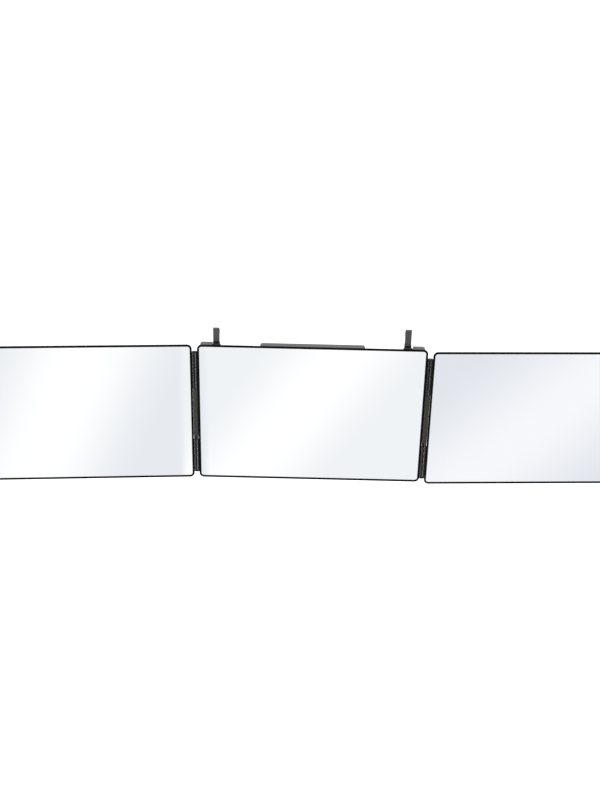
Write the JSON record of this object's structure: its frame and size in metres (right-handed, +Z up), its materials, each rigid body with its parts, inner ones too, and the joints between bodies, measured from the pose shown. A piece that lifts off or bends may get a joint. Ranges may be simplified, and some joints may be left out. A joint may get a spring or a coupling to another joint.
{
  "type": "folding three-panel mirror",
  "caption": "Folding mirror with a center panel, two hinged wings and telescoping arms whose hooks hang it over a door.",
  "frame": {"origin": "middle of the rest pad's back face, where the mirror lies against the door", "axes": "+X along the mirror to the viewer's right, +Y from the glass to the back, +Z up"},
  "size_m": [0.878, 0.0468, 0.2189],
  "materials": {
    "mirror": "polished silvered glass",
    "rim_plastic": "glossy black",
    "shell_plastic": "fine moulded texture",
    "cover_plastic": "fine moulded texture",
    "fibre_board": "pressed fibre board",
    "hinge_metal": "black oxide",
    "link_metal": "satin warm black",
    "pin_steel": "black oxide, ground",
    "nylon": "moulded",
    "screw_steel": "black zinc",
    "pad_foam": "closed-cell foam",
    "pad_rubber": "soft matte",
    "sleeve_metal": "matt black powder coat",
    "arm_metal": "satin black powder coat"
  },
  "bodies": {
    "center_panel": {"center_back_cover": "cover_plastic", "center_backing_board": "fibre_board", "center_front_frame": "rim_plastic", "center_hinge_leaf_left_lower": "hinge_metal", "center_hinge_leaf_left_upper": "hinge_metal", "center_hinge_leaf_right_lower": "hinge_metal", "center_hinge_leaf_right_upper": "hinge_metal", "center_leaf_screws": "screw_steel", "center_mirror_glass": "mirror", "center_rear_shell": "shell_plastic", "clamp_screws": "screw_steel", "corner_feet": "pad_rubber", "cover_screws": "screw_steel", "door_rest_pad": "pad_foam", "left_arm_sleeve": "sleeve_metal", "right_arm_sleeve": "sleeve_metal", "sleeve_clamps": "shell_plastic"},
    "left_spine": {"left_end_links": "hinge_metal", "left_friction_washers": "nylon", "left_hinge_link": "link_metal", "left_hinge_pins": "pin_steel"},
    "right_spine": {"right_end_links": "hinge_metal", "right_friction_washers": "nylon", "right_hinge_link": "link_metal", "right_hinge_pins": "pin_steel"},
    "left_wing": {"left_wing_backing_board": "fibre_board", "left_wing_front_frame": "rim_plastic", "left_wing_hinge_leaf_lower": "hinge_metal", "left_wing_hinge_leaf_upper": "hinge_metal", "left_wing_leaf_screws": "screw_steel", "left_wing_mirror_glass": "mirror", "left_wing_rear_shell": "shell_plastic"},
    "right_wing": {"right_wing_backing_board": "fibre_board", "right_wing_front_frame": "rim_plastic", "right_wing_hinge_leaf_lower": "hinge_metal", "right_wing_hinge_leaf_upper": "hinge_metal", "right_wing_leaf_screws": "screw_steel", "right_wing_mirror_glass": "mirror", "right_wing_rear_shell": "shell_plastic"},
    "left_tube": {"left_arm_tube": "arm_metal", "left_tube_plug": "nylon"},
    "right_tube": {"right_arm_tube": "arm_metal", "right_tube_plug": "nylon"},
    "left_rod": {"left_arm_rod": "arm_metal", "left_hook_knuckle": "arm_metal", "left_hook_pin": "pin_steel", "left_rod_glide": "nylon"},
    "right_rod": {"right_arm_rod": "arm_metal", "right_hook_knuckle": "arm_metal", "right_hook_pin": "pin_steel", "right_rod_glide": "nylon"},
    "left_hook": {"left_door_hook": "arm_metal", "left_hook_pad": "pad_rubber"},
    "right_hook": {"right_door_hook": "arm_metal", "right_hook_pad": "pad_rubber"}
  },
  "joints": [
    {"name": "left_inner_fold", "type": "hinge", "parent": "center_panel", "child": "left_spine", "pos_m": [-0.14655, -0.01855, 0], "axis": [0, 0, 1], "range_deg": [-12.25, 87.75]},
    {"name": "left_outer_fold", "type": "hinge", "parent": "left_spine", "child": "left_wing", "pos_m": [-0.15005, -0.01869, 0], "axis": [0, 0, 1], "range_deg": [-12.25, 87.75]},
    {"name": "left_tube_slide", "type": "slide", "parent": "center_panel", "child": "left_tube", "axis": [0, 0, 1], "range_m": [-0.002, 0.12]},
    {"name": "left_rod_slide", "type": "slide", "parent": "left_tube", "child": "left_rod", "axis": [0, 0, 1], "range_m": [-0.008, 0.11]},
    {"name": "left_hook_fold", "type": "hinge", "parent": "left_rod", "child": "left_hook", "pos_m": [-0.1208, -0.0092, 0.11], "axis": [1, 0, 0], "range_deg": [0, 90]},
    {"name": "right_inner_fold", "type": "hinge", "parent": "center_panel", "child": "right_spine", "pos_m": [0.14655, -0.01855, 0], "axis": [0, 0, -1], "range_deg": [-8.5, 91.5]},
    {"name": "right_outer_fold", "type": "hinge", "parent": "right_spine", "child": "right_wing", "pos_m": [0.15005, -0.01846, 0], "axis": [0, 0, -1], "range_deg": [-8.5, 36.5]},
    {"name": "right_tube_slide", "type": "slide", "parent": "center_panel", "child": "right_tube", "axis": [0, 0, 1], "range_m": [-0.005, 0.117]},
    {"name": "right_rod_slide", "type": "slide", "parent": "right_tube", "child": "right_rod", "axis": [0, 0, 1], "range_m": [-0.008, 0.11]},
    {"name": "right_hook_fold", "type": "hinge", "parent": "right_rod", "child": "right_hook", "pos_m": [0.1192, -0.0092, 0.113], "axis": [1, 0, 0], "range_deg": [0, 90]}
  ]
}
